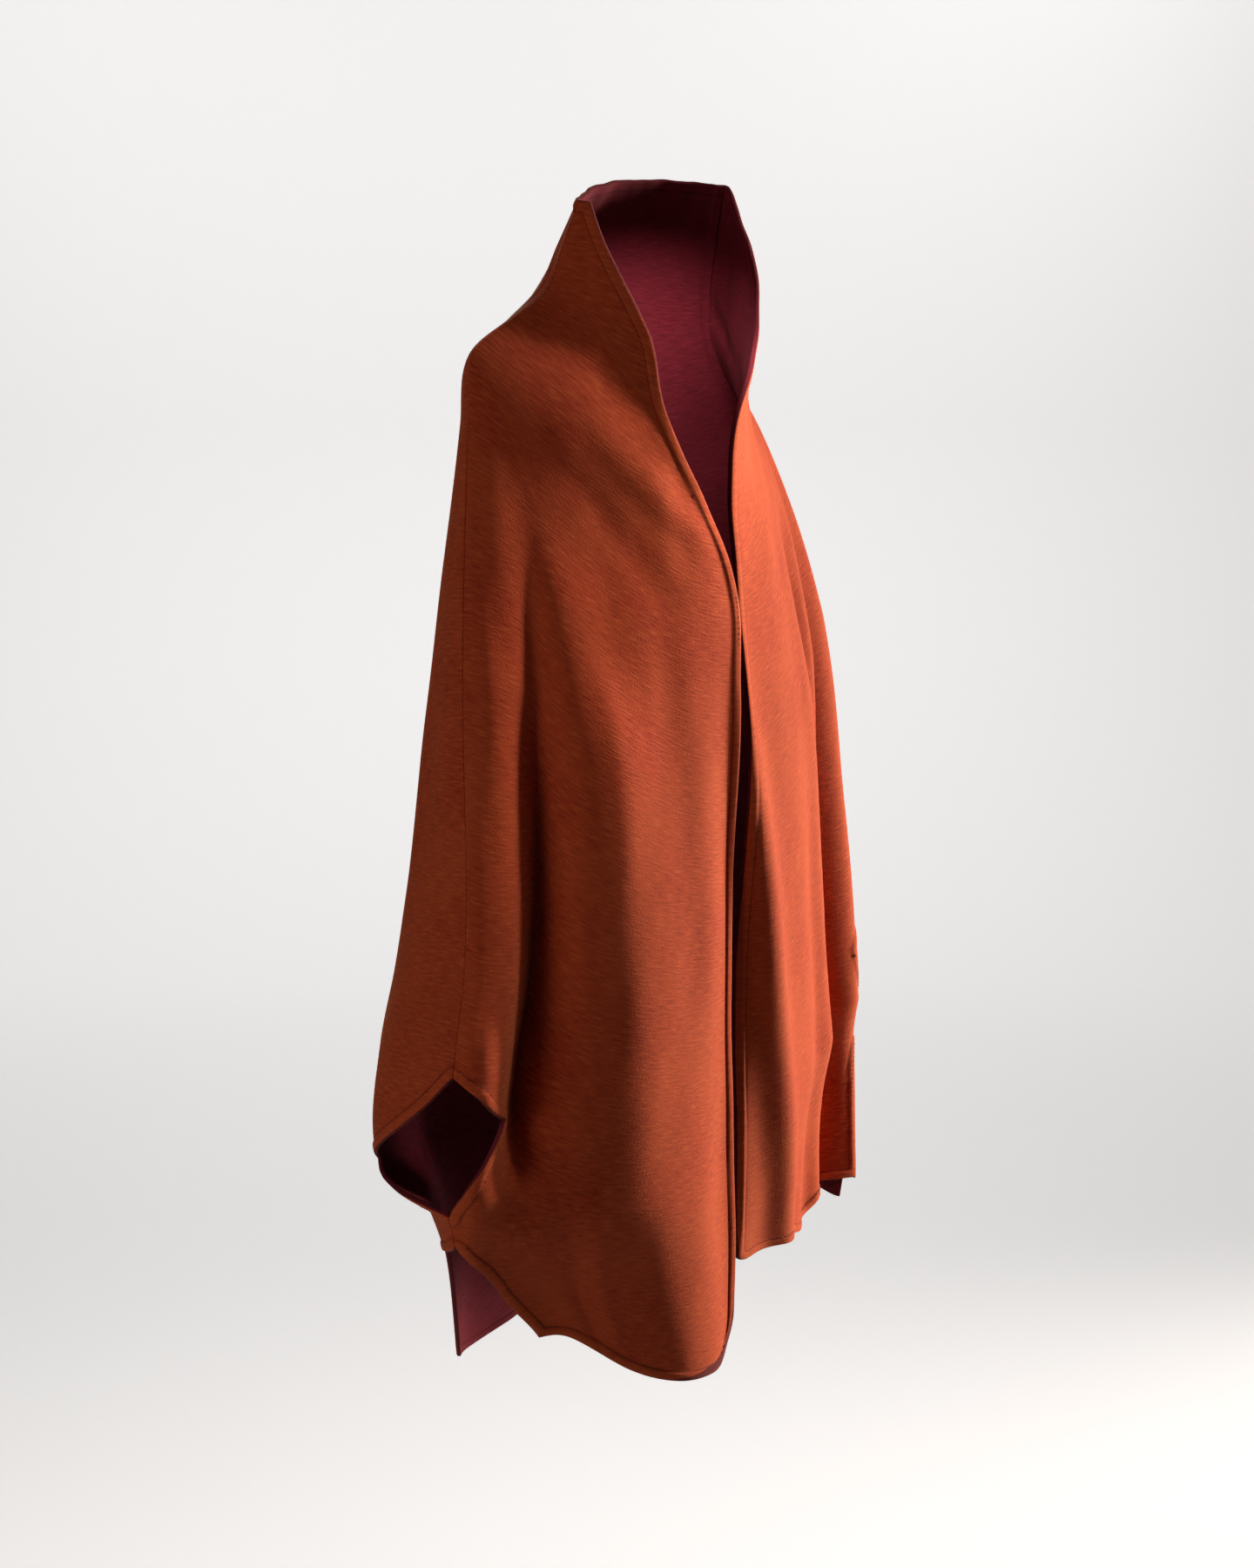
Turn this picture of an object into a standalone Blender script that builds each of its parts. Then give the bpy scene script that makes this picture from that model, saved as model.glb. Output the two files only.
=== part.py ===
"""Knee-length reversible wool cape, worn open, as three hollow cloth panels.

Metres, +Z up. +X is the wearer's left and the front faces -Y. The origin is on
the neck's axis at the height of the shoulder points, where the wearer holds the
cape up.

The cape is one form wrapped round the body, cut into a back and two fronts. A
point of the form has a bearing in degrees (0 at the centre front, 90 at the
wearer's right, 180 at the centre back, 270 at the wearer's left) and a fall,
the distance down the cloth from the collar's top edge. A row of the section
tables is one section through the cape, and between the rows each size runs on a
smooth cubic. Folds then push the form in or out. A panel is the stretch of the
form between two of its edges. It is the cloth's inner face, and Solidify gives
it its wall, thicker along the turned hems.
"""
from collections import namedtuple

import bpy
import numpy as np

WALL = 0.003
HEM_RISE = 0.001
HEM_WIDTH = 0.009
HEM_STEP = 0.0015
HEM_SHARE = 0.25
STEP_SHARE = 0.30
SEAM_GAP = 0.0003

LENGTH = 1.060
SLEEVE_END = 0.790
JOIN_TOP = 0.890
JOIN_END = 0.920
CORNER_RADIUS = {"right": 0.045, "left": 0.020}

# The back of each section: its height and depth behind the middle, how far
# forward the middle lies, and the power of the cosine that shapes the curve.
# Above 1 the curve comes to a point at the side seams, below 1 it is boxy.
BackSection = namedtuple("BackSection", "fall height depth middle power")
BACK_SECTIONS = (
    BackSection(0.00, 0.119, 0.034, 0.036, 1.60),
    BackSection(0.05, 0.082, 0.044, 0.020, 1.55),
    BackSection(0.10, 0.036, 0.057, 0.006, 1.50),
    BackSection(0.15, -0.020, 0.074, -0.004, 1.60),
    BackSection(0.20, -0.075, 0.091, -0.008, 1.70),
    BackSection(0.26, -0.140, 0.104, -0.008, 1.60),
    BackSection(0.36, -0.240, 0.113, -0.002, 1.25),
    BackSection(0.50, -0.380, 0.113, 0.004, 0.95),
    BackSection(0.65, -0.530, 0.110, 0.006, 0.90),
    BackSection(0.78, -0.660, 0.108, 0.006, 0.85),
    BackSection(0.86, -0.735, 0.106, 0.008, 0.95),
    BackSection(0.94, -0.820, 0.089, 0.010, 1.55),
    BackSection(1.06, -0.946, 0.104, 0.008, 1.30),
)

# The front of each section: its height at the centre and at the side seam, its
# half width and depth, how far the sleeve swings forward, and half the gap
# between the front edges.
FrontSection = namedtuple(
    "FrontSection", "fall front_height side_height half_width depth forward gap")
FRONT_SECTIONS = {
    "right": (
        FrontSection(0.00, 0.060, 0.090, 0.098, 0.072, 0.000, 0.0950),
        FrontSection(0.05, 0.010, 0.052, 0.101, 0.111, 0.000, 0.0860),
        FrontSection(0.10, -0.045, 0.016, 0.106, 0.128, 0.000, 0.0720),
        FrontSection(0.15, -0.105, -0.006, 0.136, 0.122, 0.000, 0.0620),
        FrontSection(0.20, -0.165, -0.033, 0.181, 0.123, 0.000, 0.0270),
        FrontSection(0.26, -0.225, -0.085, 0.187, 0.133, 0.000, 0.0050),
        FrontSection(0.36, -0.315, -0.185, 0.205, 0.135, 0.004, 0.0060),
        FrontSection(0.50, -0.440, -0.322, 0.230, 0.135, 0.018, 0.0090),
        FrontSection(0.65, -0.570, -0.475, 0.257, 0.136, 0.045, 0.0120),
        FrontSection(0.72, -0.634, -0.542, 0.270, 0.137, 0.053, 0.0120),
        FrontSection(0.78, -0.690, -0.598, 0.290, 0.139, 0.060, 0.0120),
        FrontSection(0.86, -0.765, -0.695, 0.303, 0.139, 0.056, 0.0120),
        FrontSection(0.94, -0.842, -0.780, 0.288, 0.138, 0.052, 0.0100),
        FrontSection(1.06, -0.960, -0.868, 0.246, 0.136, 0.036, 0.0090),
    ),
    "left": (
        FrontSection(0.00, 0.080, 0.112, 0.096, 0.063, 0.000, 0.0950),
        FrontSection(0.05, 0.030, 0.068, 0.106, 0.108, 0.000, 0.0800),
        FrontSection(0.10, -0.025, 0.026, 0.115, 0.116, 0.000, 0.0600),
        FrontSection(0.15, -0.085, -0.014, 0.129, 0.112, 0.000, 0.0210),
        FrontSection(0.20, -0.150, -0.048, 0.152, 0.112, 0.000, 0.0160),
        FrontSection(0.26, -0.215, -0.098, 0.192, 0.118, 0.006, 0.0160),
        FrontSection(0.36, -0.305, -0.182, 0.217, 0.124, 0.022, 0.0110),
        FrontSection(0.50, -0.430, -0.320, 0.249, 0.128, 0.036, 0.0050),
        FrontSection(0.65, -0.560, -0.475, 0.270, 0.128, 0.044, 0.0030),
        FrontSection(0.78, -0.675, -0.600, 0.284, 0.129, 0.050, 0.0040),
        FrontSection(0.86, -0.743, -0.685, 0.285, 0.128, 0.056, 0.0050),
        FrontSection(0.94, -0.815, -0.770, 0.284, 0.125, 0.066, 0.0060),
        FrontSection(1.06, -0.880, -0.893, 0.272, 0.119, 0.082, 0.0110),
    ),
}

# The large folds: bearing at the collar and at the hem, half width in degrees,
# push outward, and the falls where the fold begins, is full, fades and ends. A
# fold with no last two runs out through the hem.
PAST_HEM = (1.20, 1.30)
Fold = namedtuple("Fold", "name top_bearing hem_bearing width push begins full fades ends",
                  defaults=PAST_HEM)
FOLDS = (
    Fold("right sleeve hollow", 65, 58, 10, -0.060, 0.22, 0.74, 0.80, 0.90),
    Fold("right sleeve front", 84, 80, 8, 0.007, 0.42, 0.70, 0.75, 0.80),
    Fold("right sleeve back", 112, 117, 15, 0.030, 0.42, 0.86, 0.876, 0.904),
    Fold("right front ridge", 40, 24, 6, 0.007, 0.40, 0.95),
    Fold("left sleeve hollow", 292, 298, 8, -0.042, 0.20, 0.66, 0.90, 1.30),
    Fold("left sleeve back", 246, 240, 16, 0.024, 0.44, 0.86, 0.87, 0.92),
    Fold("left outer ridge", 318, 307, 6, 0.010, 0.22, 0.55),
    Fold("left front hollow", 334, 318, 6, -0.010, 0.24, 0.70),
    Fold("left front ridge", 362, 326, 5, 0.009, 0.26, 0.60),
    Fold("back right ridge", 148, 145, 9, 0.013, 0.34, 0.90),
    Fold("back right hollow", 164, 163, 8, -0.014, 0.42, 0.95),
    Fold("back middle ridge", 181, 184, 9, 0.012, 0.50, 1.02),
    Fold("back left hollow", 199, 205, 8, -0.015, 0.38, 0.95),
    Fold("back left ridge", 214, 222, 8, 0.013, 0.34, 0.90),
)

# The side edges below the sleeve seam: falls, and bearings counted as on the
# wearer's right. They part round the arm opening, meet at the short join and part
# again down the side slit.
FRONT_SIDES = {
    "right": ((SLEEVE_END, 90), (0.800, 79), (0.819, 67), (JOIN_TOP, 90), (JOIN_END, 90),
              (0.945, 72), (0.965, 67.5), (LENGTH, 60)),
    "left": ((SLEEVE_END, 90), (0.818, 79), (JOIN_TOP, 90), (JOIN_END, 90), (LENGTH, 80)),
}
BACK_SIDES = {
    "right": ((SLEEVE_END, 90), (0.870, 118), (0.882, 113), (JOIN_TOP, 90), (JOIN_END, 90),
              (0.955, 128), (LENGTH, 139)),
    "left": ((SLEEVE_END, 90), (0.866, 114), (JOIN_TOP, 90), (JOIN_END, 90), (LENGTH, 98)),
}

# How the hem and the collar's top edge dip from their own lines: bearing, half
# width in degrees and drop.
Dip = namedtuple("Dip", "bearing width drop")
HEM_DIPS = (
    Dip(142, 24, 0.062),
    Dip(50, 15, -0.0265),
    Dip(322, 14, 0.027),
    Dip(262, 12, 0.030),
)
COLLAR_DIPS = (
    Dip(154, 52, 0.010),
)
DIP_BEGINS = 0.90
COLLAR_DIP_ENDS = 0.12

# The falls of the grid's rows, with one at each turned edge and side corner.
FALLS = (
    (0.000, 0.009, 0.0105, 0.030),
    (0.050, 0.070, 0.090, 0.110, 0.130, 0.150, 0.170, 0.190, 0.212, 0.236, 0.262),
    (0.300, 0.345, 0.395, 0.450, 0.510, 0.570, 0.630, 0.680, 0.725, 0.760),
    (SLEEVE_END, 0.795, 0.800, 0.806, 0.812, 0.819, 0.832, 0.850, 0.861, 0.870, 0.876, 0.882),
    (JOIN_TOP, 0.907, JOIN_END, 0.930, 0.940, 0.955, 0.970, 0.985),
    (1.005, 1.022, 1.036, 1.0495, 1.051, LENGTH),
)
FRONT_COLUMNS = 14
BACK_COLUMNS = 27

# A side cut moves the columns near it by the cut times this power of their place
# in the row. Where a row has little room past its cut the power is lower.
CUT_POWER = 3.0
LEAST_SPREAD = 12.0
SWING_POWER = 6


def smooth_column(rows, name, fall):
    """One named size of the section tables at any fall, on a cubic through the rows."""
    at = np.array([row.fall for row in rows])
    size = np.array([getattr(row, name) for row in rows])
    step = np.diff(at)
    slope = np.diff(size) / step
    tangent = np.concatenate([slope[:1], slope])
    tangent[1:-1] = (slope[:-1] * step[1:] + slope[1:] * step[:-1]) / (step[:-1] + step[1:])
    row = np.clip(np.searchsorted(at, fall, side="right") - 1, 0, len(step) - 1)
    u = np.clip((fall - at[row]) / step[row], 0.0, 1.0)
    blend = u * u * (3 - 2 * u)
    start_pull = u * (1 - u) ** 2 * step[row] * tangent[row]
    end_pull = u * u * (u - 1) * step[row] * tangent[row + 1]
    return size[row] + (size[row + 1] - size[row]) * blend + start_pull + end_pull


def ramp(value, start, end):
    """0 up to start, 1 from end on, and a smooth rise between them."""
    u = np.clip((value - start) / (end - start), 0.0, 1.0)
    return u * u * (3 - 2 * u)


def bearing_bump(bearing, centre, width):
    """A bell round one bearing, 1 at its centre."""
    away = (bearing - centre + 180.0) % 360.0 - 180.0
    return np.exp(-(away / width) ** 2)


def front_size(name, bearing, fall):
    """A size of the front tables, from the side that the bearing lies on."""
    right = smooth_column(FRONT_SECTIONS["right"], name, fall)
    left = smooth_column(FRONT_SECTIONS["left"], name, fall)
    return np.where(np.sin(np.radians(bearing)) >= 0.0, right, left)


def cape_point(bearing, fall):
    """The cloth's inner face at a bearing and a fall, as an array of points."""
    angle = np.radians(bearing)
    across = np.sin(angle)
    ahead = np.cos(angle)
    half_width = front_size("half_width", bearing, fall)
    depth = np.where(ahead > 0.0, front_size("depth", bearing, fall),
                     smooth_column(BACK_SECTIONS, "depth", fall))
    power = smooth_column(BACK_SECTIONS, "power", fall)
    power = np.where(ahead > 0.0, np.maximum(power, 1.0), power)
    x = -half_width * across
    forward = smooth_column(BACK_SECTIONS, "middle", fall)
    forward = forward + np.sign(ahead) * depth * np.abs(ahead) ** power
    forward = forward + front_size("forward", bearing, fall) * across ** SWING_POWER
    side_height = front_size("side_height", bearing, fall)
    end_height = np.where(ahead > 0.0, front_size("front_height", bearing, fall),
                          smooth_column(BACK_SECTIONS, "height", fall))
    z = side_height + (end_height - side_height) * ahead ** 2

    out_x = -across * depth
    out_forward = ahead * half_width
    size = np.hypot(out_x, out_forward)
    for fold in FOLDS:
        centre = fold.top_bearing + (fold.hem_bearing - fold.top_bearing) * fall / LENGTH
        strength = ramp(fall, fold.begins, fold.full) * (1 - ramp(fall, fold.fades, fold.ends))
        push = fold.push * strength * bearing_bump(bearing, centre, fold.width)
        x = x + push * out_x / size
        forward = forward + push * out_forward / size
    for dip in HEM_DIPS:
        z = z - dip.drop * ramp(fall, DIP_BEGINS, LENGTH) * bearing_bump(bearing, dip.bearing, dip.width)
    for dip in COLLAR_DIPS:
        strength = 1 - ramp(fall, 0.0, COLLAR_DIP_ENDS)
        z = z - dip.drop * strength * bearing_bump(bearing, dip.bearing, dip.width)
    return np.stack([x, -forward, z], axis=-1)


def front_edge(side, fall):
    """The bearing of a front edge, with its rounded lower corner."""
    radius = CORNER_RADIUS[side]
    past = np.clip(fall - (LENGTH - radius), 0.0, radius)
    gap = smooth_column(FRONT_SECTIONS[side], "gap", fall)
    gap = gap + radius - np.sqrt(radius ** 2 - past ** 2)
    return np.degrees(np.arcsin(gap / smooth_column(FRONT_SECTIONS[side], "half_width", fall)))


def side_cut(rows, fall):
    """How many degrees a side edge lies away from the seam line."""
    at, bearing = zip(*((0.0, 90),) + rows)
    return np.abs(90.0 - np.interp(fall, at, bearing))


def pulled(u, cut, spread):
    """Degrees that a side cut moves a column, most at the side, keeping their order."""
    power = np.clip((spread - LEAST_SPREAD) / np.maximum(cut, 1.0), 1.0, CUT_POWER)
    return cut * u ** power


def band(bearing, fall, width):
    """The degrees that a hem of the given width takes up at a bearing."""
    angle = np.radians(bearing)
    half_width = front_size("half_width", bearing, fall)
    depth = front_size("depth", bearing, fall)
    return np.degrees(width / np.hypot(half_width * np.cos(angle), depth * np.sin(angle)))


def panel_falls():
    """The falls of a panel's rows, as one column."""
    return np.concatenate(FALLS)[:, None]


def free_side(fall):
    """Where a side edge is free: round the arm opening and down the slit."""
    opening = (fall > SLEEVE_END) & (fall < JOIN_TOP)
    return opening | (fall > JOIN_END)


def front_panel(side):
    """Points of a front panel's inner face, and which of them lie on its hems."""
    fall = panel_falls()
    edge = front_edge(side, fall)
    cut = side_cut(FRONT_SIDES[side], fall)
    room = 90.0 - cut - edge
    hem = np.minimum(band(edge, fall, HEM_WIDTH), room * HEM_SHARE)
    step = np.minimum(band(edge, fall, HEM_WIDTH + HEM_STEP), room * STEP_SHARE)
    side_hem = np.minimum(band(90.0 - cut, fall, HEM_WIDTH), room * HEM_SHARE)
    side_step = np.minimum(band(90.0 - cut, fall, HEM_WIDTH + HEM_STEP), room * STEP_SHARE)
    u = np.linspace(0.0, 1.0, FRONT_COLUMNS)[None, :]
    low = edge + step
    spread = 90.0 - side_step - low
    inner = low + spread * u - pulled(u, cut, spread)
    bearing = np.hstack([edge, edge + hem, inner, 90.0 - cut - side_hem, 90.0 - cut])
    signed = bearing if side == "right" else 360.0 - bearing
    points = cape_point(signed, fall + 0.0 * bearing)
    points[:, -1, 1] -= SEAM_GAP / 2
    raised = np.zeros(bearing.shape, bool)
    raised[:, :2] = True
    raised[:2] = True
    raised[-2:] = True
    raised[:, -2:] |= free_side(fall)
    return points, raised


def back_panel():
    """Points of the back panel's inner face, and which of them lie on its hems."""
    fall = panel_falls()
    cut = {side: side_cut(BACK_SIDES[side], fall) for side in BACK_SIDES}
    u = np.linspace(-1.0, 1.0, BACK_COLUMNS)[None, :]
    hem = band(90.0, fall, HEM_WIDTH)
    step = band(90.0, fall, HEM_WIDTH + HEM_STEP)
    side_cuts = np.where(u < 0.0, cut["right"], cut["left"])
    spread = 90.0 - step
    inner = 180.0 + u * spread - np.sign(u) * pulled(np.abs(u), side_cuts, spread)
    start = 90.0 + cut["right"]
    end = 270.0 - cut["left"]
    bearing = np.hstack([start, start + hem, inner, end - hem, end])
    points = cape_point(bearing, fall + 0.0 * bearing)
    points[:, [0, -1], 1] += SEAM_GAP / 2
    raised = np.zeros(bearing.shape, bool)
    raised[:2] = True
    raised[-2:] = True
    raised[:, [0, 1, -2, -1]] |= free_side(fall)
    return points, raised


def wool(name, colour):
    """Milled double-face wool: one colour, quite rough, not metallic."""
    material = bpy.data.materials.new(name)
    material.use_nodes = True
    shader = material.node_tree.nodes["Principled BSDF"]
    shader.inputs["Base Color"].default_value = (*colour, 1.0)
    shader.inputs["Roughness"].default_value = 0.85
    shader.inputs["Metallic"].default_value = 0.0
    material.diffuse_color = (*colour, 1.0)
    return material


def cloth(name, points, raised, turned, materials, collection):
    """An open panel of cloth with its wall outside it, thicker on the hems."""
    rows, columns = raised.shape
    index = np.arange(rows * columns).reshape(rows, columns)
    corners = [index[:-1, :-1], index[:-1, 1:], index[1:, 1:], index[1:, :-1]]
    faces = np.stack(corners[::-1] if turned else corners, axis=-1).reshape(-1, 4)
    mesh = bpy.data.meshes.new(name)
    mesh.from_pydata(points.reshape(-1, 3).tolist(), [], faces.tolist())
    for material in materials:
        mesh.materials.append(material)
    mesh.shade_smooth()
    panel = bpy.data.objects.new(name, mesh)
    collection.objects.link(panel)
    thick = panel.vertex_groups.new(name="thickness")
    plain = np.flatnonzero(~raised.ravel())
    thick.add(plain.tolist(), WALL / (WALL + HEM_RISE), "REPLACE")
    thick.add(np.flatnonzero(raised.ravel()).tolist(), 1.0, "REPLACE")
    wall = panel.modifiers.new("wall", "SOLIDIFY")
    wall.thickness = WALL + HEM_RISE
    wall.offset = 1.0
    wall.vertex_group = thick.name
    wall.material_offset = 1
    wall.material_offset_rim = 1
    return panel


def main():
    """Clear the scene and build the three panels."""
    for old in list(bpy.data.objects):
        bpy.data.objects.remove(old, do_unlink=True)
    collection = bpy.data.collections.new("cape")
    bpy.context.scene.collection.children.link(collection)
    inside = (0.085, 0.010, 0.017)
    outside = (0.420, 0.062, 0.018)
    for side in ("right", "left"):
        name = f"front_{side}"
        points, raised = front_panel(side)
        finish = [wool(f"{name} inside", inside), wool(f"{name} outside", outside)]
        cloth(name, points, raised, side == "left", finish, collection)
    points, raised = back_panel()
    finish = [wool("back inside", inside), wool("back outside", outside)]
    cloth("back", points, raised, False, finish, collection)


main()
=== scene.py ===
"""Looks of a long reversible wool cape, worn open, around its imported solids.

The cape is double-face wool: two milled faces, burnt orange outside and burgundy
inside, bonded back to back. It is cut as one back and two fronts, sewn down the
neck, shoulders and arms. Each piece is one closed shell with both faces, rolled
edges, a turned hem with its line of stitching, and the creases of the drape.

Metres, +Z up, +X towards the wearer's left, the front faces -Y.
"""
import logging
import math
from dataclasses import dataclass, field
from enum import Enum

import bpy
import numpy as np
from mathutils import Euler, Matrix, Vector


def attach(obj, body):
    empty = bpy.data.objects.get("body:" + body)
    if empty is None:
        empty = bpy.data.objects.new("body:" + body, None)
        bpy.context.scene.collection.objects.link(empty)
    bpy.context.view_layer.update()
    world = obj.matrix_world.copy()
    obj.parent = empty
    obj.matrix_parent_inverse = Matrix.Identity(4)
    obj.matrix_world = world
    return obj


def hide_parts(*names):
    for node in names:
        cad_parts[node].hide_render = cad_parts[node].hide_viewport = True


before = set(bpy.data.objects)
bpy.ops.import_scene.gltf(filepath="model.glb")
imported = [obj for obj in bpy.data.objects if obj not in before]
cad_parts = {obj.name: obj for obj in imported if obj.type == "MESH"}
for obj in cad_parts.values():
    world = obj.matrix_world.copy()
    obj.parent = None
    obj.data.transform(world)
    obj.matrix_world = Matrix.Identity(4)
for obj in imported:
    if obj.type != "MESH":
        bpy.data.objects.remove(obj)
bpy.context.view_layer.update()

LOG = logging.getLogger("cape")
MM = 0.001
HEM_DISTANCE = "hem_mm"
LINING_DISTANCE = "lining_mm"
HEM_MM = 9.3
SIDE_SEAM = 90.0
# How far inside an edge the grid's rows and columns lie there: close together
# where the edge rolls over and at the line of stitches.
EDGE_STEPS = MM * np.array([0.0, 0.35, 0.9, 1.6, 2.8, 4.6, 6.6, 7.9, 8.6, HEM_MM, 10.0, 10.8, 12.2])


class Side(Enum):
    """The wearer's side that a front panel covers."""

    RIGHT = "right"
    LEFT = "left"


@dataclass(frozen=True)
class BackSection:
    """The back half of one section through the cape, in metres."""

    fall: float
    height: float
    depth: float
    middle: float
    power: float


@dataclass(frozen=True)
class FrontSection:
    """One quarter of a section, on the wearer's right or left, in metres."""

    fall: float
    front_height: float
    side_height: float
    half_width: float
    depth: float
    forward: float
    gap: float


@dataclass(frozen=True)
class Fold:
    """A large fold: bearings and width in degrees, push in metres, falls in metres."""

    name: str
    top_bearing: float
    hem_bearing: float
    width: float
    push: float
    begins: float
    full: float
    fades: float = 1.20
    ends: float = 1.30


@dataclass(frozen=True)
class Dip:
    """How far the hem, or the collar's top, dips from its own line round one bearing."""

    bearing: float
    width: float
    drop: float


@dataclass(frozen=True)
class Crease:
    """A soft trough or ridge laid on the cloth from one point to another.

    The points are a bearing in degrees and a fall in metres. half_width and push
    are metres, and a push below zero is a trough.
    """

    name: str
    start: tuple[float, float]
    end: tuple[float, float]
    half_width: float
    push: float


@dataclass(frozen=True)
class Wave:
    """One wave of the cloth's slight unevenness: lengths and height in metres."""

    across: float
    along: float
    phase: float
    height: float


def ramp(value: np.ndarray, start: float, end: float) -> np.ndarray:
    """0 up to start, 1 from end on, and the cubic 3u^2 - 2u^3 between them.

    Args:
        value: Where to read the ramp.
        start: Where it leaves 0.
        end: Where it reaches 1.

    Returns:
        The ramp's height at each value.
    """
    u = np.clip((value - start) / (end - start), 0.0, 1.0)
    return u * u * (3.0 - 2.0 * u)


def unit(vectors: np.ndarray) -> np.ndarray:
    """The same directions with a length of 1, with x, y and z on the last axis."""
    return vectors / np.linalg.norm(vectors, axis=-1, keepdims=True)


def bearing_bump(bearing: np.ndarray, centre: np.ndarray, width: float) -> np.ndarray:
    """A bell exp(-(a / width)^2) of the angle a between a bearing and the centre.

    Args:
        bearing: Bearings in degrees.
        centre: The bell's centre in degrees.
        width: Its half width in degrees.

    Returns:
        The bell's height, 1 at the centre.
    """
    away = (bearing - centre + 180.0) % 360.0 - 180.0
    return np.exp(-((away / width) ** 2))


# Fall, height, depth, middle and power of each section.
BACK_SECTIONS = tuple(BackSection(*row) for row in (
    (0.00, 0.119, 0.034, 0.036, 1.60),
    (0.05, 0.082, 0.044, 0.020, 1.55),
    (0.10, 0.036, 0.057, 0.006, 1.50),
    (0.15, -0.020, 0.074, -0.004, 1.60),
    (0.20, -0.075, 0.091, -0.008, 1.70),
    (0.26, -0.140, 0.104, -0.008, 1.60),
    (0.36, -0.240, 0.113, -0.002, 1.25),
    (0.50, -0.380, 0.113, 0.004, 0.95),
    (0.65, -0.530, 0.110, 0.006, 0.90),
    (0.78, -0.660, 0.108, 0.006, 0.85),
    (0.86, -0.735, 0.106, 0.008, 0.95),
    (0.94, -0.820, 0.089, 0.010, 1.55),
    (1.06, -0.946, 0.104, 0.008, 1.30),
))

# Fall, front height, side height, half width, depth, forward and gap of each section.
FRONT_SECTIONS = {side: tuple(FrontSection(*row) for row in rows) for side, rows in (
    (Side.RIGHT, (
        (0.00, 0.060, 0.090, 0.098, 0.072, 0.000, 0.0950),
        (0.05, 0.010, 0.052, 0.101, 0.111, 0.000, 0.0860),
        (0.10, -0.045, 0.016, 0.106, 0.128, 0.000, 0.0720),
        (0.15, -0.105, -0.006, 0.136, 0.122, 0.000, 0.0620),
        (0.20, -0.165, -0.033, 0.181, 0.123, 0.000, 0.0270),
        (0.26, -0.225, -0.085, 0.187, 0.133, 0.000, 0.0050),
        (0.36, -0.315, -0.185, 0.205, 0.135, 0.004, 0.0060),
        (0.50, -0.440, -0.322, 0.230, 0.135, 0.018, 0.0090),
        (0.65, -0.570, -0.475, 0.257, 0.136, 0.045, 0.0120),
        (0.72, -0.634, -0.542, 0.270, 0.137, 0.053, 0.0120),
        (0.78, -0.690, -0.598, 0.290, 0.139, 0.060, 0.0120),
        (0.86, -0.765, -0.695, 0.303, 0.139, 0.056, 0.0120),
        (0.94, -0.842, -0.780, 0.288, 0.138, 0.052, 0.0100),
        (1.06, -0.960, -0.868, 0.246, 0.136, 0.036, 0.0090),
    )),
    (Side.LEFT, (
        (0.00, 0.080, 0.112, 0.096, 0.063, 0.000, 0.0950),
        (0.05, 0.030, 0.068, 0.106, 0.108, 0.000, 0.0800),
        (0.10, -0.025, 0.026, 0.115, 0.116, 0.000, 0.0600),
        (0.15, -0.085, -0.014, 0.129, 0.112, 0.000, 0.0210),
        (0.20, -0.150, -0.048, 0.152, 0.112, 0.000, 0.0160),
        (0.26, -0.215, -0.098, 0.192, 0.118, 0.006, 0.0160),
        (0.36, -0.305, -0.182, 0.217, 0.124, 0.022, 0.0110),
        (0.50, -0.430, -0.320, 0.249, 0.128, 0.036, 0.0050),
        (0.65, -0.560, -0.475, 0.270, 0.128, 0.044, 0.0030),
        (0.78, -0.675, -0.600, 0.284, 0.129, 0.050, 0.0040),
        (0.86, -0.743, -0.685, 0.285, 0.128, 0.056, 0.0050),
        (0.94, -0.815, -0.770, 0.284, 0.125, 0.066, 0.0060),
        (1.06, -0.880, -0.893, 0.272, 0.119, 0.082, 0.0110),
    )),
)}

# Name, bearings at the top and the hem, width, push, where it begins and is full,
# and for some where it fades and ends.
FOLDS = tuple(Fold(*row) for row in (
    ("right sleeve hollow", 65, 58, 10, -0.060, 0.22, 0.74, 0.80, 0.90),
    ("right sleeve front", 84, 80, 8, 0.007, 0.42, 0.70, 0.75, 0.80),
    ("right sleeve back", 112, 117, 15, 0.030, 0.42, 0.86, 0.876, 0.904),
    ("right edge hollow", 4, 4, 6, -0.010, 0.30, 0.56),
    ("right edge ridge", 60, 20, 16, 0.014, 0.26, 0.52),
    ("left sleeve hollow", 292, 298, 8, -0.042, 0.20, 0.66, 0.90, 1.30),
    ("left sleeve back", 246, 240, 16, 0.024, 0.44, 0.86, 0.87, 0.92),
    ("left outer hollow", 314, 306, 7, -0.018, 0.24, 0.42, 0.72, 0.95),
    ("left front hollow", 334, 318, 6, -0.010, 0.24, 0.70),
    ("left front ridge", 370, 341, 5, 0.016, 0.26, 0.60),
    ("back right ridge", 148, 145, 9, 0.013, 0.34, 0.90),
    ("back right hollow", 164, 163, 8, -0.014, 0.42, 0.95),
    ("back middle ridge", 181, 184, 9, 0.012, 0.50, 1.02),
    ("back left hollow", 199, 205, 8, -0.015, 0.38, 0.95),
    ("back left ridge", 214, 222, 8, 0.013, 0.34, 0.90),
))

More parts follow.
